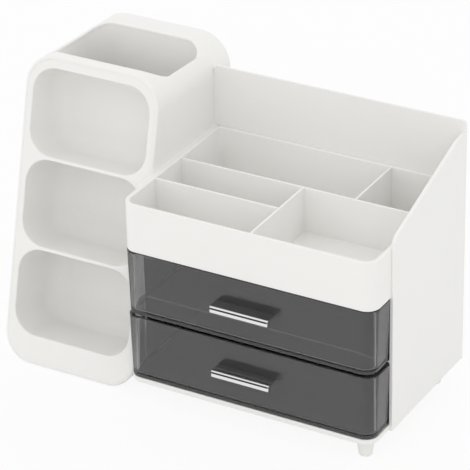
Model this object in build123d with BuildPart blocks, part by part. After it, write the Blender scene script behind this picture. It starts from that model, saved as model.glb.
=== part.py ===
"""Desktop makeup organizer: a drawer case with a top tray, and a leaning pocket tower at its left side."""
import os
from math import cos, radians, sin, tan

from build123d import *

os.makedirs("parts", exist_ok=True)

# Overall arrangement, in millimetres
case_width = 237.5
case_depth = 164.0
tower_width = 131.0
tower_overhang = 25.0
handle_reach = 13.0
cut_overrun = 4.0

# Case walls and levels
foot_height = 20.5
pad_protrusion = 0.8
panel_thickness = 3.0
panel_set_back = 30.5
panel_shoulder = 176.7
panel_shoulder_radius = 15.0
panel_bend_inset = 18.0
panel_bend_height = 214.0
panel_bend_radius = 24.0
panel_back_height = 215.8
panel_edge_radius = 0.8
left_panel_height = 170.0
left_panel_radius = 6.0
back_panel_thickness = 3.0
back_panel_height = 225.6
back_corner_radius = 4.0
base_thickness = 5.0
base_edge_radius = 1.2
front_corner_radius = 12.0
shelf_thickness = 1.4
shelf_tongue = 1.4
tongue_clearance = 0.1

# Drawers
drawer_height = 58.4
drawer_wall = 2.6
drawer_floor = 3.0
drawer_edge_radius = 1.0
drawer_floor_radius = 2.0
drawer_rim = 3.4
drawer_rim_groove = 1.2
drawer_rim_depth = 1.0
drawer_lift = 0.3
drawer_head_gap = 0.9
drawer_overlap = 0.9
drawer_draft = 1.4
drawer_side_gap = 1.4
drawer_panel_gap = 2.6
drawer_back_gap = 2.0
drawer_corner_radius = 11.0
rear_corner_radius = 5.0

# Drawer handles
handle_width = 54.0
handle_rise = 5.5
handle_plate = 2.0
handle_flange = 3.0
handle_flange_height = 10.0
handle_flange_inset = 7.0
handle_bar = 4.0
handle_bar_height = 6.6
handle_bar_radius = 3.0
handle_end_radius = 1.2
screw_spacing = 30.0
screw_drop = 6.2
screw_radius = 1.5
screw_grip = 2.4
screw_head_radius = 2.8
screw_head = 1.6
screw_slot = 0.7
screw_clearance = 0.1

# Top tray and its divider plates
tray_height = 44.3
tray_wall = 3.0
tray_overlap = 1.0
tray_panel_gap = 0.2
tray_floor = 3.0
tray_edge_radius = 1.1
divider_thickness = 2.0
divider_edge_radius = 0.6
divider_drop = 0.4
centre_divider_offset = 4.2
cross_wall_set_back = 50.0
rear_wall_set_back = 92.0
rear_divider_offset = 52.0

# Feet under the case's right side
foot_top_radius = 8.2
foot_bottom_radius = 5.7
foot_edge_radius = 1.6
foot_inset = 18.0
foot_peg_radius = 3.0
foot_peg = 3.6
foot_pad_radius = 2.8
pad_recess = 1.2
peg_clearance = 0.1

# Tower outline
tower_front_set_back = 8.9
tower_lean = 13.7
tower_front_height = 268.7
tower_top_fall = 6.2
tower_top_radius = 29.0
tower_bottom_radius = 26.0
tower_wall = 3.0
tower_cap_height = 14.0
tower_rim_radius = 2.2
tower_fit = 0.1
tower_back_thickness = 2.5

# Tower front and its three pockets
bezel_thickness = 3.0
mouth_side_rim = 8.1
mouth_top_rim = 10.9
mouth_skirt = 27.0
mouth_web = 3.1
mouth_radius = 22.0
mouth_edge_radius = 1.2
pocket_wall = 1.4
lower_pocket_depth = 66.0
middle_pocket_depth = 62.0
upper_pocket_depth = 50.0
pocket_back_radius = 18.0

# Open bin in the top of the tower
bin_side_rim = 10.3
bin_front_rim = 9.8
bin_back_rim = 24.0
bin_radius = 20.0
bin_wall = 1.6
bin_floor = 1.8
bin_well_height = 108.0
bin_rim_radius = 1.4

# Pegs between tower and case, and pads under the tower
link_peg_radius = 3.0
link_peg_rise = 62.0
link_peg_pitch_z = 70.0
link_peg_back_inset = 26.0
link_peg_pitch_y = 52.0
tower_pad_radius = 6.0
tower_pad_inset_x = 34.0
tower_pad_inset_y = 24.0

# Places in the shared frame: origin under the middle of the whole object, on the table
overall_width = case_width + tower_width
overall_depth = handle_reach + case_depth + tower_overhang
front_y = handle_reach - overall_depth / 2
back_y = front_y + case_depth
tower_back_y = back_y + tower_overhang
case_left_x = tower_width - overall_width / 2
case_right_x = overall_width / 2
case_x = (case_left_x + case_right_x) / 2
tower_x = case_left_x - tower_width / 2

# Case interior and the levels of what is stacked in it
inner_width = case_width - 2 * panel_thickness
inner_right_x = case_right_x - panel_thickness
bay_back_y = back_y - back_panel_thickness
bay_depth = case_depth - back_panel_thickness
panel_front_y = front_y + panel_set_back
base_z = foot_height
lower_drawer_z = base_z + base_thickness + drawer_lift
shelf_z = lower_drawer_z + drawer_height + drawer_head_gap
upper_drawer_z = shelf_z + shelf_thickness + drawer_lift
tray_z = upper_drawer_z + drawer_height + drawer_head_gap
tray_inner_z = tray_z + tray_floor
drawer_front_width = inner_width + 2 * drawer_overlap
drawer_box_width = inner_width - 2 * drawer_side_gap
drawer_depth = bay_depth - drawer_back_gap
rim_draft_share = 1 - (drawer_rim + drawer_rim_groove) / drawer_height
rim_width = drawer_front_width - 2 * drawer_draft * rim_draft_share

# The tower's leaning front: its plane has x to the right, y up along the lean and z out of the front
lean = radians(tower_lean)
tower_base_z = pad_protrusion
tower_front_y = front_y + tower_front_set_back
tower_edge_y = tower_front_y + (tower_front_height - tower_base_z) * tan(lean)
tower_back_height = tower_front_height - tower_top_fall
tower_top_slope = tower_top_fall / (tower_back_y - tower_edge_y)
tower_front_length = (tower_front_height - tower_base_z) / cos(lean)
tower_front_plane = Plane(
    origin=(tower_x, tower_front_y, tower_base_z),
    x_dir=(1, 0, 0),
    z_dir=(0, -cos(lean), sin(lean)),
)


def write(builder, name):
    """Label a finished piece and write its STEP file."""
    builder.part.label = name
    export_step(builder.part, f"parts/{name}.step")


def facing_front(x, y, z):
    """A plane that looks out of the front, with x to the right and y up."""
    return Plane(origin=(x, y, z), x_dir=(1, 0, 0), z_dir=(0, -1, 0))


# Base plate: rounded at the front corners, with a blind socket for each foot's peg
foot_places = {
    "front": (case_right_x - foot_inset, front_y + foot_inset),
    "rear": (case_right_x - foot_inset, back_y - foot_inset),
}
with BuildPart() as base_plate:
    with BuildSketch(Plane((case_x, front_y, base_z))) as base_outline:
        Rectangle(inner_width, bay_depth, align=(Align.CENTER, Align.MIN))
        fillet(base_outline.vertices().group_by(Axis.Y)[0], front_corner_radius)
    extrude(amount=base_thickness)
    underside_edges = base_plate.edges().group_by(Axis.Z)[0]
    fillet(underside_edges.filter_by(lambda edge: edge.center().Y < panel_front_y), base_edge_radius)
    with BuildSketch(Plane.XY.offset(base_z)):
        with Locations(*foot_places.values()):
            Circle(foot_peg_radius + peg_clearance)
    extrude(amount=foot_peg + peg_clearance, mode=Mode.SUBTRACT)
write(base_plate, "base_plate")

# Feet under the right side, pegged into the base plate and padded; the tower carries the left side
for end, (foot_x, foot_y) in foot_places.items():
    with BuildPart() as foot:
        with BuildSketch(Plane.XZ.offset(-foot_y)):
            with BuildLine():
                Polyline(
                    (foot_x, pad_protrusion),
                    (foot_x + foot_bottom_radius, pad_protrusion),
                    (foot_x + foot_top_radius, foot_height),
                    (foot_x + foot_peg_radius, foot_height),
                    (foot_x + foot_peg_radius, foot_height + foot_peg),
                    (foot_x, foot_height + foot_peg),
                    close=True,
                )
            make_face()
        revolve(axis=Axis((foot_x, foot_y, 0), (0, 0, 1)))
        fillet(foot.edges().group_by(Axis.Z)[0], foot_edge_radius)
        with BuildSketch(Plane((foot_x, foot_y, pad_protrusion))):
            Circle(foot_pad_radius)
        extrude(amount=pad_recess, mode=Mode.SUBTRACT)
    write(foot, f"{end}_foot")

    with BuildPart() as foot_pad:
        with BuildSketch(Plane((foot_x, foot_y, 0))):
            Circle(foot_pad_radius - peg_clearance)
        extrude(amount=pad_protrusion + pad_recess)
    write(foot_pad, f"{end}_foot_pad")

# Side panels: the right one rises to the back in a slope, the left one ends below the tray's rim
link_peg_centre_y = back_y - link_peg_back_inset - link_peg_pitch_y / 2
link_peg_centre_z = link_peg_rise + link_peg_pitch_z / 2
panel_bend_y = back_y - panel_bend_inset
left_top_z = base_z + left_panel_height
right_top_z = base_z + panel_back_height
side_panels = {
    "left": (case_left_x, [(bay_back_y, left_top_z), (panel_front_y, left_top_z)], [left_panel_radius]),
    "right": (
        inner_right_x,
        [
            (bay_back_y, right_top_z),
            (panel_bend_y, base_z + panel_bend_height),
            (panel_front_y, base_z + panel_shoulder),
        ],
        [panel_bend_radius, panel_shoulder_radius],
    ),
}
for side, (panel_x, top_points, top_radii) in side_panels.items():
    groove_x = panel_x + panel_thickness if side == "left" else panel_x
    panel_foot = (panel_front_y, base_z)
    with BuildPart() as side_panel:
        with BuildSketch(Plane.YZ.offset(panel_x)):
            with BuildLine():
                FilletPolyline(*top_points, panel_foot, radius=top_radii)
                Polyline(panel_foot, (bay_back_y, base_z), top_points[0])
            make_face()
        extrude(amount=panel_thickness)
        face_edges = side_panel.faces().sort_by(Axis.X)[-1].edges()
        rear_edge = face_edges.sort_by(Axis.Y)[-1]
        fillet([edge for edge in face_edges if edge != rear_edge], panel_edge_radius)
        with BuildSketch(Plane((groove_x, panel_front_y, shelf_z - tongue_clearance))):
            Rectangle(
                2 * (shelf_tongue + tongue_clearance),
                bay_back_y - panel_front_y,
                align=(Align.CENTER, Align.MIN),
            )
        extrude(amount=shelf_thickness + 2 * tongue_clearance, mode=Mode.SUBTRACT)
        if side == "left":
            with BuildSketch(Plane.YZ.offset(panel_x)):
                with Locations((link_peg_centre_y, link_peg_centre_z)):
                    with GridLocations(link_peg_pitch_y, link_peg_pitch_z, 2, 2):
                        Circle(link_peg_radius + peg_clearance)
            extrude(amount=panel_thickness, mode=Mode.SUBTRACT)
    write(side_panel, f"{side}_side_panel")

# Back panel across the rear ends of the side panels
with BuildPart() as back_panel:
    with BuildSketch(facing_front(case_x, back_y, base_z)) as back_outline:
        Rectangle(case_width, back_panel_height, align=(Align.CENTER, Align.MIN))
        fillet(back_outline.vertices().group_by(Axis.Y)[-1], back_corner_radius)
    extrude(amount=back_panel_thickness)
    fillet(back_panel.faces().sort_by(Axis.Y)[-1].edges(), panel_edge_radius)
write(back_panel, "back_panel")

# Shelf between the drawers, with its long edges in the grooves of the side panels
with BuildPart() as drawer_shelf:
    with BuildSketch(Plane((case_x, panel_front_y, shelf_z))):
        Rectangle(
            inner_width + 2 * shelf_tongue,
            bay_back_y - panel_front_y,
            align=(Align.CENTER, Align.MIN),
        )
    extrude(amount=shelf_thickness)
write(drawer_shelf, "drawer_shelf")


def tub_outline(width, depth, corner_radius):
    """Plan of a tub with rounded corners, its front on the case's front."""
    with BuildSketch(Plane((case_x, front_y, 0))) as outline:
        Rectangle(width, depth, align=(Align.CENTER, Align.MIN))
        fillet(outline.vertices().group_by(Axis.Y)[0], corner_radius)
        fillet(outline.vertices().group_by(Axis.Y)[-1], rear_corner_radius)
    return outline.sketch


def open_tub(width, draft, well_width, depth, height, wall, floor, base, edge_radius, corner_radius):
    """An open box with rounded vertical corners, whose sides draw in by the draft at its bottom."""
    with BuildPart() as tub:
        for level, drawn_in in ((base, draft), (base + height, 0)):
            with BuildSketch(Plane.XY.offset(level)):
                add(tub_outline(width - 2 * drawn_in, depth, corner_radius))
        loft(ruled=True)
        with BuildSketch(Plane((case_x, front_y + wall, base + floor))) as hollow:
            Rectangle(well_width, depth - 2 * wall, align=(Align.CENTER, Align.MIN))
            fillet(hollow.vertices().group_by(Axis.Y)[0], corner_radius - wall)
            fillet(hollow.vertices().group_by(Axis.Y)[-1], rear_corner_radius - wall)
        extrude(amount=height, mode=Mode.SUBTRACT)
        fillet(tub.faces().sort_by(Axis.Z)[-1].edges(), edge_radius)
    return tub.part


def side_strips(rear_width, rear_y, base, height):
    """The two strips to cut from a tub's sides so that it passes between the panels."""
    with BuildPart() as strips:
        with BuildSketch(Plane((case_x, rear_y, base))):
            with GridLocations(rear_width + cut_overrun, case_depth, 2, 1):
                Rectangle(cut_overrun, case_depth, align=(Align.CENTER, Align.MIN))
        extrude(amount=height)
    return strips.part


# Drawers, each with a groove above its bottom rim and a handle held from inside by two screws
for level, drawer_z in (("lower", lower_drawer_z), ("upper", upper_drawer_z)):
    handle_top_z = drawer_z + drawer_height / 2 + handle_rise
    screw_z = handle_top_z - screw_drop
    drawer_blank = open_tub(
        drawer_front_width,
        drawer_draft,
        drawer_box_width - 2 * drawer_wall,
        drawer_depth,
        drawer_height,
        drawer_wall,
        drawer_floor,
        drawer_z,
        drawer_edge_radius,
        drawer_corner_radius,
    )
    with BuildPart() as drawer:
        add(drawer_blank)
        fillet(drawer.faces().sort_by(Axis.Z)[0].edges(), drawer_edge_radius)
        floor_z = drawer_z + drawer_floor
        well_floor = drawer.faces().filter_by(Axis.Z).sort_by(lambda face: abs(face.center().Z - floor_z))[0]
        fillet(well_floor.edges(), drawer_floor_radius)
        with BuildSketch(Plane.XY.offset(drawer_z + drawer_rim)):
            add(tub_outline(rim_width, drawer_depth, drawer_corner_radius))
            offset(amount=-drawer_rim_depth, mode=Mode.SUBTRACT)
        extrude(amount=drawer_rim_groove, mode=Mode.SUBTRACT)
        box_y = panel_front_y - drawer_panel_gap
        add(side_strips(drawer_box_width, box_y, drawer_z, drawer_height), mode=Mode.SUBTRACT)
        with BuildSketch(facing_front(case_x, front_y + drawer_wall, screw_z)):
            with GridLocations(screw_spacing, screw_spacing, 2, 1):
                Circle(screw_radius + screw_clearance)
        extrude(amount=drawer_wall, mode=Mode.SUBTRACT)
    write(drawer, f"{level}_drawer")

    with BuildPart() as handle:
        with BuildSketch(Plane.YZ.offset(case_x)) as handle_profile:
            with Locations((front_y, handle_top_z)):
                Rectangle(handle_flange, handle_flange_height, align=Align.MAX)
                Rectangle(handle_reach, handle_plate, align=Align.MAX)
            with Locations((front_y - handle_reach, handle_top_z)):
                Rectangle(handle_bar, handle_bar_height, align=(Align.MIN, Align.MAX))
            fillet(handle_profile.vertices().group_by(Axis.X)[0], handle_bar_radius)
        extrude(amount=handle_width / 2, both=True)
        with BuildSketch(Plane((case_x, front_y, handle_top_z))) as handle_plan:
            Rectangle(handle_width, handle_reach, align=(Align.CENTER, Align.MAX))
            fillet(handle_plan.vertices().group_by(Axis.Y)[0], handle_end_radius)
        extrude(amount=-handle_flange_height, mode=Mode.INTERSECT)
        with BuildSketch(Plane((case_x, front_y, handle_top_z - handle_plate))):
            Rectangle(handle_width, handle_flange, align=(Align.CENTER, Align.MAX))
            flange_width = handle_width - 2 * handle_flange_inset
            Rectangle(flange_width, handle_flange, align=(Align.CENTER, Align.MAX), mode=Mode.SUBTRACT)
        extrude(amount=handle_plate - handle_flange_height, mode=Mode.SUBTRACT)
        with BuildSketch(facing_front(case_x, front_y, screw_z)):
            with GridLocations(screw_spacing, screw_spacing, 2, 1):
                Circle(screw_radius + screw_clearance)
        extrude(amount=screw_grip + screw_clearance, mode=Mode.SUBTRACT)
    write(handle, f"{level}_drawer_handle")

    with BuildPart() as handle_screws:
        with BuildSketch(facing_front(case_x, front_y + drawer_wall, screw_z)):
            with GridLocations(screw_spacing, screw_spacing, 2, 1):
                Circle(screw_radius)
        extrude(amount=drawer_wall + screw_grip)
        with BuildSketch(facing_front(case_x, front_y + drawer_wall, screw_z)):
            with GridLocations(screw_spacing, screw_spacing, 2, 1):
                Circle(screw_head_radius)
        extrude(amount=-screw_head)
        with BuildSketch(facing_front(case_x, front_y + drawer_wall + screw_head, screw_z)):
            with GridLocations(screw_spacing, screw_spacing, 2, 1):
                Rectangle(2 * screw_head_radius, screw_slot)
                Rectangle(screw_slot, 2 * screw_head_radius)
        extrude(amount=screw_slot, mode=Mode.SUBTRACT)
    write(handle_screws, f"{level}_handle_screws")

# Top tray: its front wall is the plain band above the drawers, and laps the panels' front edges
with BuildPart() as top_tray:
    tray_blank = open_tub(
        inner_width + 2 * tray_overlap,
        0,
        inner_width - 2 * tray_wall,
        bay_depth,
        tray_height,
        tray_wall,
        tray_floor,
        tray_z,
        tray_edge_radius,
        front_corner_radius,
    )
    add(tray_blank)
    add(side_strips(inner_width, panel_front_y - tray_panel_gap, tray_z, tray_height), mode=Mode.SUBTRACT)
write(top_tray, "top_tray")

# Divider plates that stand on the tray's floor
divider_height = tray_height - tray_floor - divider_drop
tray_left_x = case_x - inner_width / 2 + tray_wall
tray_right_x = case_x + inner_width / 2 - tray_wall
tray_front_y = front_y + tray_wall
tray_back_y = bay_back_y - tray_wall
centre_divider_x = case_x + centre_divider_offset
rear_divider_x = case_x + rear_divider_offset
cross_wall_y = front_y + cross_wall_set_back
rear_wall_y = front_y + rear_wall_set_back
centre_left_x = centre_divider_x - divider_thickness / 2
centre_right_x = centre_divider_x + divider_thickness / 2
rear_left_x = rear_divider_x - divider_thickness / 2
rear_right_x = rear_divider_x + divider_thickness / 2
divider_spans = {
    "tray_centre_divider": (centre_left_x, tray_front_y, centre_right_x, rear_wall_y),
    "tray_cross_wall": (tray_left_x, cross_wall_y, centre_left_x, cross_wall_y + divider_thickness),
    "tray_rear_wall": (tray_left_x, rear_wall_y, tray_right_x, rear_wall_y + divider_thickness),
    "tray_rear_divider": (rear_left_x, rear_wall_y + divider_thickness, rear_right_x, tray_back_y),
}
for divider_name, (x0, y0, x1, y1) in divider_spans.items():
    with BuildPart() as divider:
        with BuildSketch(Plane((x0, y0, tray_inner_z))):
            Rectangle(x1 - x0, y1 - y0, align=Align.MIN)
        extrude(amount=divider_height)
        top_edges = divider.edges().group_by(Axis.Z)[-1]
        fillet(top_edges.filter_by(Axis.X if x1 - x0 > y1 - y0 else Axis.Y), divider_edge_radius)
    write(divider, divider_name)


# The three mouths share the leaning front between its skirt and its top rim
mouth_width = tower_width - 2 * mouth_side_rim
mouth_height = (tower_front_length - mouth_skirt - mouth_top_rim - 2 * mouth_web) / 3
mouth_pitch = mouth_height + mouth_web


def tower_loaf(inset):
    """The tower's rounded body, drawn in by an inset and running past its front and its back."""
    with BuildPart() as loaf:
        for section_y in (tower_front_y - cut_overrun, tower_back_y + cut_overrun):
            top_z = tower_front_height - (section_y - tower_edge_y) * tower_top_slope
            with BuildSketch(facing_front(tower_x, section_y, tower_base_z + inset)) as section:
                Rectangle(
                    tower_width - 2 * inset,
                    top_z - tower_base_z - 2 * inset,
                    align=(Align.CENTER, Align.MIN),
                )
                fillet(section.vertices().group_by(Axis.Y)[0], tower_bottom_radius - inset)
                fillet(section.vertices().group_by(Axis.Y)[-1], tower_top_radius - inset)
        loft(ruled=True)
    return loaf.part


def pocket_form(plane, length, grow):
    """One pocket's rounded form behind a mouth, grown all round by a wall."""
    with BuildPart() as form:
        with BuildSketch(plane):
            RectangleRounded(mouth_width + 2 * grow, mouth_height + 2 * grow, mouth_radius + grow)
        extrude(amount=-length)
        far_end = form.faces().sort_by(Axis(plane.origin, plane.z_dir))[0]
        fillet(far_end.edges(), pocket_back_radius + grow)
    return form.part


# Places of the three mouths up the leaning front
mouth_centres = {
    "lower": mouth_skirt + mouth_height / 2,
    "middle": mouth_skirt + mouth_height / 2 + mouth_pitch,
    "upper": mouth_skirt + mouth_height / 2 + 2 * mouth_pitch,
}
pocket_depths = {
    "lower": lower_pocket_depth,
    "middle": middle_pocket_depth,
    "upper": upper_pocket_depth,
}

# Where the bin lies: its floor follows the upper pocket's roof and falls round its back into a deep well
bin_width = tower_width - 2 * bin_side_rim
bin_front_y = tower_edge_y + bin_front_rim
bin_length = tower_back_y - bin_back_rim - bin_front_y
bin_y = bin_front_y + bin_length / 2
pocket_roof = mouth_centres["upper"] + mouth_height / 2 + pocket_wall + tower_fit
pocket_roof_y = tower_front_y + pocket_roof * sin(lean)
pocket_roof_z = tower_base_z + pocket_roof * cos(lean)
bowl_radius = pocket_back_radius + pocket_wall + tower_fit
bowl_v = mouth_centres["upper"] + mouth_height / 2 - pocket_back_radius
bowl_depth = upper_pocket_depth - pocket_wall - pocket_back_radius
well_front_y = tower_front_y + bowl_v * sin(lean) + bowl_depth * cos(lean) + bowl_radius
well_base_z = tower_back_height - bin_well_height


def bin_space(wall, floor):
    """The bin's inside where wall and floor are its own, and its outside where they are zero."""
    step_y = well_front_y + wall
    step_z = pocket_roof_z - (step_y - pocket_roof_y) * tan(lean) + floor
    front_edge_y = bin_front_y - bin_wall - cut_overrun
    front_edge_z = pocket_roof_z - (front_edge_y - pocket_roof_y) * tan(lean) + floor
    with BuildPart() as space:
        with BuildSketch(Plane((tower_x, bin_y, 0))):
            RectangleRounded(
                bin_width + 2 * (bin_wall - wall),
                bin_length + 2 * (bin_wall - wall),
                bin_radius + bin_wall - wall,
            )
        extrude(amount=tower_front_height + cut_overrun)
        with BuildSketch(Plane.YZ.offset(tower_x)):
            with BuildLine():
                FilletPolyline(
                    (front_edge_y, front_edge_z),
                    (step_y, step_z),
                    (step_y, well_base_z + floor),
                    radius=bowl_radius + wall,
                )
                Polyline(
                    (step_y, well_base_z + floor),
                    (tower_back_y, well_base_z + floor),
                    (tower_back_y, tower_front_height + cut_overrun),
                    (front_edge_y, tower_front_height + cut_overrun),
                    (front_edge_y, front_edge_z),
                )
            make_face()
        extrude(amount=tower_width / 2, both=True, mode=Mode.INTERSECT)
    return space.part


def is_opening_wall(face):
    """Whether a face of the tower's body is an upright wall of the bin's opening."""
    middle = face.center()
    in_width = abs(middle.X - tower_x) < bin_width / 2 + bin_wall
    in_length = abs(middle.Y - bin_y) < bin_length / 2 + bin_wall
    in_top = middle.Z > tower_back_height - tower_top_radius
    return in_width and in_length and in_top and abs(face.normal_at(middle).Z) < sin(lean)


# Tower shell and top: open at the front and the back, with the bin's opening cut through the top
loaf_outside = tower_loaf(0)
loaf_inside = tower_loaf(tower_wall)
loaf_fit = tower_loaf(tower_wall + tower_fit)
bin_inside = bin_space(bin_wall, bin_floor)
bin_outside = bin_space(0, 0)
with BuildPart() as tower_body:
    add(loaf_outside)
    split(bisect_by=tower_front_plane, keep=Keep.BOTTOM)
    split(bisect_by=facing_front(tower_x, tower_back_y, 0), keep=Keep.TOP)
    add(loaf_inside, mode=Mode.SUBTRACT)
    with BuildSketch(Plane((tower_x, bin_y, tower_front_height / 2))):
        RectangleRounded(bin_width, bin_length, bin_radius)
    extrude(amount=tower_front_height, mode=Mode.SUBTRACT)
    opening_walls = tower_body.faces().filter_by(is_opening_wall)
    fillet([wall.edges().sort_by(Axis.Z)[-1] for wall in opening_walls], bin_rim_radius)
    front_rim = tower_body.faces().sort_by(Axis(tower_front_plane.origin, tower_front_plane.z_dir))[-1]
    fillet(front_rim.outer_wire().edges(), tower_rim_radius)
    with BuildSketch(Plane.YZ.offset(case_left_x)):
        with Locations((link_peg_centre_y, link_peg_centre_z)):
            with GridLocations(link_peg_pitch_y, link_peg_pitch_z, 2, 2):
                Circle(link_peg_radius + peg_clearance)
    extrude(amount=-tower_wall, mode=Mode.SUBTRACT)
    tower_pad_places = [
        (tower_x + side * (tower_width / 2 - tower_pad_inset_x), pad_y)
        for side in (-1, 1)
        for pad_y in (tower_front_y + tower_pad_inset_y, tower_back_y - tower_pad_inset_y)
    ]
    with BuildSketch(Plane.XY.offset(tower_base_z)):
        with Locations(*tower_pad_places):
            Circle(tower_pad_radius)
    extrude(amount=pad_recess, mode=Mode.SUBTRACT)
cap_plane = Plane.XY.offset(tower_back_height - tower_cap_height)
for tower_name, kept_side in (("tower_shell", Keep.BOTTOM), ("tower_top", Keep.TOP)):
    with BuildPart() as tower_piece:
        add(tower_body.part)
        split(bisect_by=cap_plane, keep=kept_side)
    write(tower_piece, tower_name)

# Tower front: the leaning plate with the three mouths
with BuildPart() as tower_front:
    add(loaf_fit)
    split(bisect_by=tower_front_plane, keep=Keep.BOTTOM)
    split(bisect_by=tower_front_plane.offset(-bezel_thickness), keep=Keep.TOP)
    with BuildSketch(tower_front_plane):
        with Locations(*[(0, mouth_v) for mouth_v in mouth_centres.values()]):
            RectangleRounded(mouth_width, mouth_height, mouth_radius)
    extrude(amount=-bezel_thickness - cut_overrun, mode=Mode.SUBTRACT)
    bezel_face = tower_front.faces().sort_by(Axis(tower_front_plane.origin, tower_front_plane.z_dir))[-1]
    fillet([edge for mouth in bezel_face.inner_wires() for edge in mouth.edges()], mouth_edge_radius)
write(tower_front, "tower_front")

# Pockets behind the mouths, square to the leaning front so that their floors fall to the back
for pocket_name, mouth_v in mouth_centres.items():
    pocket_plane = Plane(
        origin=tower_front_plane.from_local_coords((0, mouth_v, -bezel_thickness)),
        x_dir=tower_front_plane.x_dir,
        z_dir=tower_front_plane.z_dir,
    )
    pocket_length = pocket_depths[pocket_name] - bezel_thickness
    with BuildPart() as pocket:
        add(pocket_form(pocket_plane, pocket_length, pocket_wall))
        add(pocket_form(pocket_plane, pocket_length - pocket_wall, 0), mode=Mode.SUBTRACT)
    write(pocket, f"{pocket_name}_pocket")

# Bin that hangs under the opening in the top
with BuildPart() as top_bin:
    add(bin_outside)
    add(bin_inside, mode=Mode.SUBTRACT)
    add(loaf_fit, mode=Mode.INTERSECT)
write(top_bin, "top_bin")

# Cover that closes the tower's back
with BuildPart() as tower_back_cover:
    add(loaf_fit)
    split(bisect_by=facing_front(tower_x, tower_back_y, 0), keep=Keep.TOP)
    split(bisect_by=facing_front(tower_x, tower_back_y - tower_back_thickness, 0), keep=Keep.BOTTOM)
write(tower_back_cover, "tower_back_cover")

# Pegs that hold the tower to the case's left panel
with BuildPart() as link_pegs:
    with BuildSketch(Plane.YZ.offset(case_left_x - tower_wall + peg_clearance)):
        with Locations((link_peg_centre_y, link_peg_centre_z)):
            with GridLocations(link_peg_pitch_y, link_peg_pitch_z, 2, 2):
                Circle(link_peg_radius)
    extrude(amount=tower_wall + panel_thickness - 2 * peg_clearance)
write(link_pegs, "tower_link_pegs")

# Rubber pads under the tower
with BuildPart() as tower_pads:
    with BuildSketch(Plane.XY):
        with Locations(*tower_pad_places):
            Circle(tower_pad_radius - peg_clearance)
    extrude(amount=pad_protrusion + pad_recess)
write(tower_pads, "tower_pads")
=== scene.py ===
"""Finishes and studio of a desktop makeup organizer, laid out as a Blender add-on."""
import math

import bpy
from bpy.props import FloatProperty, FloatVectorProperty, PointerProperty
from bpy.types import Operator, Panel, PropertyGroup
from mathutils import Matrix, Vector

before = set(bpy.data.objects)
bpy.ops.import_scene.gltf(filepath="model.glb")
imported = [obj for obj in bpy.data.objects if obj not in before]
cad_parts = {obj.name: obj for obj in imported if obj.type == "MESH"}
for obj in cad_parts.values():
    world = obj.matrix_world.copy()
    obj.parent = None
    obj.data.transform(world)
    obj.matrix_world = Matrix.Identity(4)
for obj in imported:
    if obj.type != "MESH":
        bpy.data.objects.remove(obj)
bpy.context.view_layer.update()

bl_info = {
    "name": "Makeup organizer",
    "version": (1, 0, 0),
    "blender": (4, 5, 0),
    "location": "View3D > Sidebar > Organizer",
    "description": "Finishes a makeup organizer with drawers and sets up its studio",
    "category": "Object",
}

WHITE_NODES = (
    "base_plate", "left_side_panel", "right_side_panel", "back_panel", "drawer_shelf", "top_tray",
    "tray_centre_divider", "tray_cross_wall", "tray_rear_wall", "tray_rear_divider",
    "front_foot", "rear_foot", "tower_link_pegs",
)
TOWER_NODES = (
    "tower_shell", "tower_top", "tower_front", "lower_pocket", "middle_pocket", "upper_pocket", "top_bin",
    "tower_back_cover",
)
DRAWER_NODES = ("lower_drawer", "upper_drawer")
HANDLE_NODES = ("lower_drawer_handle", "upper_drawer_handle")
SCREW_NODES = ("lower_handle_screws", "upper_handle_screws")
PAD_NODES = ("front_foot_pad", "rear_foot_pad", "tower_pads")

PLASTIC_IOR = 1.49
SMOKE_CLEARNESS = 0.955
RUBBER_SHEEN = 0.3
MOTTLE_DETAIL = 3.0
GRAIN_DETAIL = 2.0
GRAIN_HEIGHT = 0.0002

FLOOR_SIDES = 64
FLOOR_ROUGHNESS = 0.9
FLOOR_SHEEN = 0.1
KEY_PLACE = (1.4, -2.9, 2.0)
KEY_SIZE = 2.2
FILL_PLACE = (-2.6, -1.4, 1.4)
FILL_SIZE = 2.0
SENSOR_WIDTH = 36.0

# Directions between which the room in front fades to dark in the mirrors:
# towards the front, up from the floor, and down from the ceiling
DARK_FRONT = (0.1, -0.2)
DARK_FOOT = (-0.05, 0.05)
DARK_TOP = (0.80, 0.65)


class OrganizerFinishes(PropertyGroup):
    """Colours and gloss of the organizer's plastics and metals."""

    white: FloatVectorProperty(
        name="White plastic", description="Colour of the white mouldings", subtype="COLOR",
        default=(0.90, 0.894, 0.872), min=0.0, max=1.0,
    )
    white_roughness: FloatProperty(
        name="White roughness", description="Roughness of the white mouldings", subtype="FACTOR",
        default=0.36, min=0.0, max=1.0,
    )
    smoke: FloatVectorProperty(
        name="Smoked plastic", description="Tint of the smoked plastic at its surface", subtype="COLOR",
        default=(0.95, 0.95, 0.955), min=0.0, max=1.0,
    )
    smoke_depth: FloatVectorProperty(
        name="Smoke in depth", description="Colour that light turns to inside the smoked plastic",
        subtype="COLOR", default=(0.50, 0.50, 0.505), min=0.0, max=1.0,
    )
    smoke_density: FloatProperty(
        name="Smoke density", description="Absorption per metre inside the smoked plastic",
        default=300.0, min=0.0,
    )
    smoke_roughness: FloatProperty(
        name="Smoked roughness", description="Roughness of the polished drawers", subtype="FACTOR",
        default=0.03, min=0.0, max=1.0,
    )
    chrome: FloatVectorProperty(
        name="Chrome", description="Colour of the plated handles", subtype="COLOR",
        default=(0.80, 0.80, 0.81), min=0.0, max=1.0,
    )
    steel: FloatVectorProperty(
        name="Steel", description="Colour of the handle screws", subtype="COLOR",
        default=(0.58, 0.58, 0.59), min=0.0, max=1.0,
    )
    rubber: FloatVectorProperty(
        name="Rubber", description="Colour of the pads underneath", subtype="COLOR",
        default=(0.62, 0.62, 0.60), min=0.0, max=1.0,
    )


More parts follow.
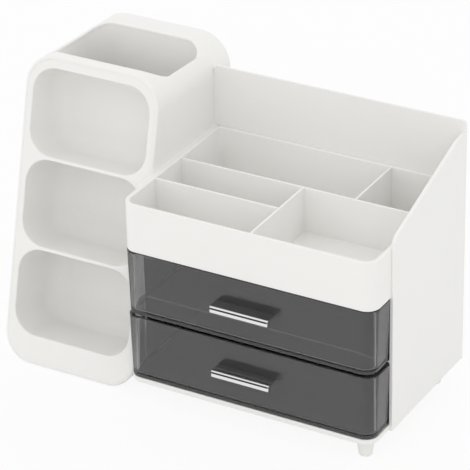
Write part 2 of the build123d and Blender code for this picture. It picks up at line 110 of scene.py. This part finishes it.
class OrganizerStage(PropertyGroup):
    """Camera, lamps and floor of the studio."""

    aim: FloatVectorProperty(
        name="Aim", description="Point that the camera looks at", subtype="XYZ", unit="LENGTH",
        default=(0.00557, 0.0011, 0.13062),
    )
    azimuth: FloatProperty(
        name="Azimuth", description="Turn of the camera round the object", subtype="ANGLE",
        default=math.radians(30.046),
    )
    elevation: FloatProperty(
        name="Elevation", description="Height angle of the camera", subtype="ANGLE",
        default=math.radians(28.432),
    )
    roll: FloatProperty(
        name="Roll", description="Turn of the picture about the line of sight", subtype="ANGLE",
        default=math.radians(-1.236),
    )
    distance: FloatProperty(
        name="Distance", description="From the aim to the camera", unit="LENGTH", default=2.4287, min=0.1,
    )
    lens: FloatProperty(
        name="Lens", description="Focal length for a sensor of 36 mm", unit="CAMERA",
        default=220.44, min=1.0,
    )
    key_power: FloatProperty(
        name="Key lamp", description="Power of the large lamp at the front right", unit="POWER",
        default=10.0, min=0.0,
    )
    fill_power: FloatProperty(
        name="Fill lamp", description="Power of the large lamp at the left", unit="POWER",
        default=5.0, min=0.0,
    )
    room_light: FloatProperty(
        name="Room light", description="Even light from all round", default=0.93, min=0.0,
    )
    dark_room: FloatProperty(
        name="Dark room", description="How dark the room in front is in the handles", subtype="FACTOR",
        default=0.94, min=0.0, max=1.0,
    )
    floor: FloatVectorProperty(
        name="Floor", description="Colour of the studio floor", subtype="COLOR",
        default=(0.88, 0.88, 0.88), min=0.0, max=1.0,
    )
    floor_size: FloatProperty(
        name="Floor size", description="Width of the studio floor", unit="LENGTH", default=16.0, min=1.0,
    )
    floor_glow: FloatProperty(
        name="Floor whiteness", description="Share of plain white that the camera sees in the floor",
        subtype="FACTOR", default=0.9, min=0.0, max=1.0,
    )


def surface_grain():
    """Node group: slow mottling of tone and gloss, and a fine grain height, as on moulded plastic."""
    name = "surface_grain"
    if name in bpy.data.node_groups:
        return bpy.data.node_groups[name]
    group = bpy.data.node_groups.new(name, "ShaderNodeTree")
    inputs = (
        ("Color", "NodeSocketColor", (0.8, 0.8, 0.8, 1.0)),
        ("Tone Spread", "NodeSocketFloat", 0.02),
        ("Mottle Scale", "NodeSocketFloat", 20.0),
        ("Roughness", "NodeSocketFloat", 0.4),
        ("Roughness Spread", "NodeSocketFloat", 0.05),
        ("Grain Scale", "NodeSocketFloat", 900.0),
    )
    for label, kind, default in inputs:
        socket = group.interface.new_socket(label, in_out="INPUT", socket_type=kind)
        socket.default_value = default
    group.interface.new_socket("Color", in_out="OUTPUT", socket_type="NodeSocketColor")
    group.interface.new_socket("Roughness", in_out="OUTPUT", socket_type="NodeSocketFloat")
    group.interface.new_socket("Height", in_out="OUTPUT", socket_type="NodeSocketFloat")

    nodes = group.nodes
    link = group.links.new
    given = nodes.new("NodeGroupInput")
    result = nodes.new("NodeGroupOutput")
    place = nodes.new("ShaderNodeTexCoord")

    mottle = nodes.new("ShaderNodeTexNoise")
    mottle.inputs["Detail"].default_value = MOTTLE_DETAIL
    link(place.outputs["Object"], mottle.inputs["Vector"])
    link(given.outputs["Mottle Scale"], mottle.inputs["Scale"])

    centred = nodes.new("ShaderNodeMath")
    centred.operation = "SUBTRACT"
    centred.inputs[1].default_value = 0.5
    link(mottle.outputs["Fac"], centred.inputs[0])

    tone = nodes.new("ShaderNodeMath")
    tone.operation = "MULTIPLY_ADD"
    tone.inputs[2].default_value = 1.0
    link(centred.outputs[0], tone.inputs[0])
    link(given.outputs["Tone Spread"], tone.inputs[1])

    shade = nodes.new("ShaderNodeVectorMath")
    shade.operation = "SCALE"
    link(given.outputs["Color"], shade.inputs[0])
    link(tone.outputs[0], shade.inputs["Scale"])
    link(shade.outputs["Vector"], result.inputs["Color"])

    gloss = nodes.new("ShaderNodeMath")
    gloss.operation = "MULTIPLY_ADD"
    link(centred.outputs[0], gloss.inputs[0])
    link(given.outputs["Roughness Spread"], gloss.inputs[1])
    link(given.outputs["Roughness"], gloss.inputs[2])
    link(gloss.outputs[0], result.inputs["Roughness"])

    grain = nodes.new("ShaderNodeTexNoise")
    grain.inputs["Detail"].default_value = GRAIN_DETAIL
    link(place.outputs["Object"], grain.inputs["Vector"])
    link(given.outputs["Grain Scale"], grain.inputs["Scale"])
    link(grain.outputs["Fac"], result.inputs["Height"])
    return group


def grained_material(name, color, roughness, tone_spread, roughness_spread, grain_scale, bump):
    """A material whose colour, gloss and bump come from the surface grain. Returns it and its shader."""
    material = bpy.data.materials.new(name)
    material.use_nodes = True
    nodes = material.node_tree.nodes
    link = material.node_tree.links.new
    shader = nodes["Principled BSDF"]
    grain = nodes.new("ShaderNodeGroup")
    grain.node_tree = surface_grain()
    grain.inputs["Color"].default_value = (*color, 1.0)
    grain.inputs["Tone Spread"].default_value = tone_spread
    grain.inputs["Roughness"].default_value = roughness
    grain.inputs["Roughness Spread"].default_value = roughness_spread
    grain.inputs["Grain Scale"].default_value = grain_scale
    relief = nodes.new("ShaderNodeBump")
    relief.inputs["Strength"].default_value = bump
    relief.inputs["Distance"].default_value = GRAIN_HEIGHT
    link(grain.outputs["Color"], shader.inputs["Base Color"])
    link(grain.outputs["Roughness"], shader.inputs["Roughness"])
    link(grain.outputs["Height"], relief.inputs["Height"])
    link(relief.outputs["Normal"], shader.inputs["Normal"])
    return material, shader


def white_plastic():
    """Satin white moulded plastic."""
    look = bpy.context.scene.organizer_finishes
    material, shader = grained_material(
        "white_plastic", look.white, roughness=look.white_roughness,
        tone_spread=0.02, roughness_spread=0.08, grain_scale=900.0, bump=0.05,
    )
    shader.inputs["IOR"].default_value = PLASTIC_IOR
    return material


def smoked_plastic():
    """Polished see-through plastic with a grey tint that deepens with its thickness."""
    look = bpy.context.scene.organizer_finishes
    material, shader = grained_material(
        "smoked_plastic", look.smoke, roughness=look.smoke_roughness,
        tone_spread=0.05, roughness_spread=0.03, grain_scale=60.0, bump=0.02,
    )
    shader.inputs["Transmission Weight"].default_value = SMOKE_CLEARNESS
    shader.inputs["IOR"].default_value = PLASTIC_IOR
    nodes = material.node_tree.nodes
    depth = nodes.new("ShaderNodeVolumeAbsorption")
    depth.inputs["Color"].default_value = (*look.smoke_depth, 1.0)
    depth.inputs["Density"].default_value = look.smoke_density
    material.node_tree.links.new(depth.outputs["Volume"], nodes["Material Output"].inputs["Volume"])
    return material


def chrome_plate():
    """Bright chrome with faint smears."""
    look = bpy.context.scene.organizer_finishes
    material, shader = grained_material(
        "chrome_plate", look.chrome, roughness=0.07,
        tone_spread=0.04, roughness_spread=0.08, grain_scale=120.0, bump=0.02,
    )
    shader.inputs["Metallic"].default_value = 1.0
    return material


def screw_steel():
    """Plain bright steel."""
    look = bpy.context.scene.organizer_finishes
    material, shader = grained_material(
        "screw_steel", look.steel, roughness=0.28,
        tone_spread=0.10, roughness_spread=0.15, grain_scale=1500.0, bump=0.10,
    )
    shader.inputs["Metallic"].default_value = 1.0
    return material


def pad_rubber():
    """Matte grey rubber."""
    look = bpy.context.scene.organizer_finishes
    material, shader = grained_material(
        "pad_rubber", look.rubber, roughness=0.8,
        tone_spread=0.08, roughness_spread=0.10, grain_scale=1200.0, bump=0.25,
    )
    shader.inputs["Specular IOR Level"].default_value = RUBBER_SHEEN
    return material


def give_finish(names, material):
    """Put one material on the CAD nodes of these names."""
    for name in names:
        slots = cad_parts[name].material_slots
        for slot in slots:
            slot.material = material


class ORGANIZER_OT_white_mouldings(Operator):
    """Finish the case, the tray, the feet and the tower in white plastic"""

    bl_idname = "organizer.white_mouldings"
    bl_label = "White mouldings"

    def execute(self, context):
        give_finish(WHITE_NODES + TOWER_NODES, white_plastic())
        return {"FINISHED"}


class ORGANIZER_OT_smoked_drawers(Operator):
    """Finish the two drawers in smoked plastic"""

    bl_idname = "organizer.smoked_drawers"
    bl_label = "Smoked drawers"

    def execute(self, context):
        give_finish(DRAWER_NODES, smoked_plastic())
        return {"FINISHED"}


class ORGANIZER_OT_handles(Operator):
    """Finish the handles in chrome and their screws in steel"""

    bl_idname = "organizer.handles"
    bl_label = "Handles and screws"

    def execute(self, context):
        give_finish(HANDLE_NODES, chrome_plate())
        give_finish(SCREW_NODES, screw_steel())
        return {"FINISHED"}


class ORGANIZER_OT_pads(Operator):
    """Finish the pads underneath in rubber"""

    bl_idname = "organizer.pads"
    bl_label = "Rubber pads"

    def execute(self, context):
        give_finish(PAD_NODES, pad_rubber())
        return {"FINISHED"}


def seen_plainly(nodes, link):
    """1 for a ray from the camera, a mirror or a clear plastic, and 0 for light on the object."""
    path = nodes.new("ShaderNodeLightPath")
    either = nodes.new("ShaderNodeMath")
    either.operation = "MAXIMUM"
    link(path.outputs["Is Camera Ray"], either.inputs[0])
    link(path.outputs["Is Glossy Ray"], either.inputs[1])
    any_of = nodes.new("ShaderNodeMath")
    any_of.operation = "MAXIMUM"
    link(either.outputs[0], any_of.inputs[0])
    link(path.outputs["Is Transmission Ray"], any_of.inputs[1])
    return any_of.outputs[0]


def studio_floor(stage):
    """A large pale floor that keeps the object's shadow."""
    bpy.ops.mesh.primitive_circle_add(
        vertices=FLOOR_SIDES, radius=stage.floor_size / 2, fill_type="NGON", location=(0, 0, 0),
    )
    floor = bpy.context.active_object
    floor.name = "studio_floor"
    material = bpy.data.materials.new("studio_floor")
    material.use_nodes = True
    nodes = material.node_tree.nodes
    link = material.node_tree.links.new
    shader = nodes["Principled BSDF"]
    shader.inputs["Base Color"].default_value = (*stage.floor, 1.0)
    shader.inputs["Roughness"].default_value = FLOOR_ROUGHNESS
    shader.inputs["Specular IOR Level"].default_value = FLOOR_SHEEN
    glow = nodes.new("ShaderNodeEmission")
    glow.inputs["Color"].default_value = (1.0, 1.0, 1.0, 1.0)
    share = nodes.new("ShaderNodeMath")
    share.operation = "MULTIPLY"
    share.inputs[1].default_value = stage.floor_glow
    link(seen_plainly(nodes, link), share.inputs[0])
    mix = nodes.new("ShaderNodeMixShader")
    link(share.outputs[0], mix.inputs["Fac"])
    link(shader.outputs["BSDF"], mix.inputs[1])
    link(glow.outputs["Emission"], mix.inputs[2])
    link(mix.outputs["Shader"], nodes["Material Output"].inputs["Surface"])
    floor.data.materials.append(material)


def ramp_between(nodes, link, value, start, end):
    """0 where a value is at the start or before it, 1 at the end or past it, and smooth between."""
    ramp = nodes.new("ShaderNodeMapRange")
    ramp.interpolation_type = "SMOOTHSTEP"
    ramp.inputs["From Min"].default_value = start
    ramp.inputs["From Max"].default_value = end
    link(value, ramp.inputs["Value"])
    return ramp.outputs["Result"]


def room_in_mirrors(nodes, link, darkness):
    """Strength of the room as it is seen: plain white, but dark in front in the object's reflections."""
    place = nodes.new("ShaderNodeTexCoord")
    parts = nodes.new("ShaderNodeSeparateXYZ")
    link(place.outputs["Generated"], parts.inputs["Vector"])
    path = nodes.new("ShaderNodeLightPath")
    shares = (
        path.outputs["Is Glossy Ray"],
        ramp_between(nodes, link, parts.outputs["Y"], *DARK_FRONT),
        ramp_between(nodes, link, parts.outputs["Z"], *DARK_FOOT),
        ramp_between(nodes, link, parts.outputs["Z"], *DARK_TOP),
    )
    dark = shares[0]
    for share in shares[1:]:
        times = nodes.new("ShaderNodeMath")
        times.operation = "MULTIPLY"
        link(dark, times.inputs[0])
        link(share, times.inputs[1])
        dark = times.outputs[0]
    strength = nodes.new("ShaderNodeMath")
    strength.operation = "MULTIPLY_ADD"
    strength.inputs[1].default_value = -darkness
    strength.inputs[2].default_value = 1.0
    link(dark, strength.inputs[0])
    return strength.outputs[0]


def studio_world(stage):
    """Even white light, seen as plain white."""
    world = bpy.data.worlds.new("studio_world")
    world.use_nodes = True
    nodes = world.node_tree.nodes
    link = world.node_tree.links.new
    sky = nodes["Background"]
    sky.inputs["Color"].default_value = (1.0, 1.0, 1.0, 1.0)
    sky.inputs["Strength"].default_value = stage.room_light
    seen = nodes.new("ShaderNodeBackground")
    seen.inputs["Color"].default_value = (1.0, 1.0, 1.0, 1.0)
    link(room_in_mirrors(nodes, link, stage.dark_room), seen.inputs["Strength"])
    mix = nodes.new("ShaderNodeMixShader")
    link(seen_plainly(nodes, link), mix.inputs["Fac"])
    link(sky.outputs["Background"], mix.inputs[1])
    link(seen.outputs["Background"], mix.inputs[2])
    link(mix.outputs["Shader"], nodes["World Output"].inputs["Surface"])
    bpy.context.scene.world = world


def studio_lamp(name, place, target, size, power):
    """A square soft lamp that faces the target."""
    lamp = bpy.data.lights.new(name, "AREA")
    lamp.shape = "SQUARE"
    lamp.size = size
    lamp.energy = power
    holder = bpy.data.objects.new(name, lamp)
    bpy.context.scene.collection.objects.link(holder)
    holder.location = place
    holder.rotation_euler = (Vector(target) - Vector(place)).to_track_quat("-Z", "Y").to_euler()


def studio_camera(stage):
    """The camera at the viewing angle, with its roll."""
    camera = bpy.data.cameras.new("camera")
    camera.sensor_width = SENSOR_WIDTH
    camera.lens = stage.lens
    camera.dof.use_dof = False
    holder = bpy.data.objects.new("camera", camera)
    bpy.context.scene.collection.objects.link(holder)
    turn = Matrix.Rotation(stage.azimuth, 4, "Z") @ Matrix.Rotation(math.pi / 2 - stage.elevation, 4, "X")
    turn = turn @ Matrix.Rotation(stage.roll, 4, "Z")
    back = turn @ Vector((0.0, 0.0, stage.distance))
    holder.matrix_world = Matrix.Translation(Vector(stage.aim) + back) @ turn
    bpy.context.scene.camera = holder


class ORGANIZER_OT_stage(Operator):
    """Set up the floor, the light and the camera"""

    bl_idname = "organizer.stage"
    bl_label = "Studio"

    def execute(self, context):
        stage = context.scene.organizer_stage
        studio_floor(stage)
        studio_world(stage)
        studio_lamp("key_lamp", KEY_PLACE, stage.aim, KEY_SIZE, stage.key_power)
        studio_lamp("fill_lamp", FILL_PLACE, stage.aim, FILL_SIZE, stage.fill_power)
        studio_camera(stage)
        context.scene.view_settings.view_transform = "Standard"
        return {"FINISHED"}


STEPS = (
    ORGANIZER_OT_white_mouldings,
    ORGANIZER_OT_smoked_drawers,
    ORGANIZER_OT_handles,
    ORGANIZER_OT_pads,
    ORGANIZER_OT_stage,
)


class ORGANIZER_PT_sidebar(Panel):
    """Lists the steps and their settings in the sidebar"""

    bl_label = "Makeup organizer"
    bl_idname = "ORGANIZER_PT_sidebar"
    bl_space_type = "VIEW_3D"
    bl_region_type = "UI"
    bl_category = "Organizer"

    def draw(self, context):
        for settings in (context.scene.organizer_finishes, context.scene.organizer_stage):
            box = self.layout.box()
            for name in settings.__annotations__:
                box.prop(settings, name)
        for step in STEPS:
            self.layout.operator(step.bl_idname)


CLASSES = (OrganizerFinishes, OrganizerStage, *STEPS, ORGANIZER_PT_sidebar)


def register():
    for each in CLASSES:
        bpy.utils.register_class(each)
    bpy.types.Scene.organizer_finishes = PointerProperty(type=OrganizerFinishes)
    bpy.types.Scene.organizer_stage = PointerProperty(type=OrganizerStage)


def unregister():
    del bpy.types.Scene.organizer_stage
    del bpy.types.Scene.organizer_finishes
    for each in reversed(CLASSES):
        bpy.utils.unregister_class(each)


def main():
    register()
    bpy.ops.object.select_all(action="DESELECT")
    bpy.ops.organizer.white_mouldings()
    bpy.ops.organizer.smoked_drawers()
    bpy.ops.organizer.handles()
    bpy.ops.organizer.pads()
    bpy.ops.organizer.stage()


if __name__ == "__main__":
    main()
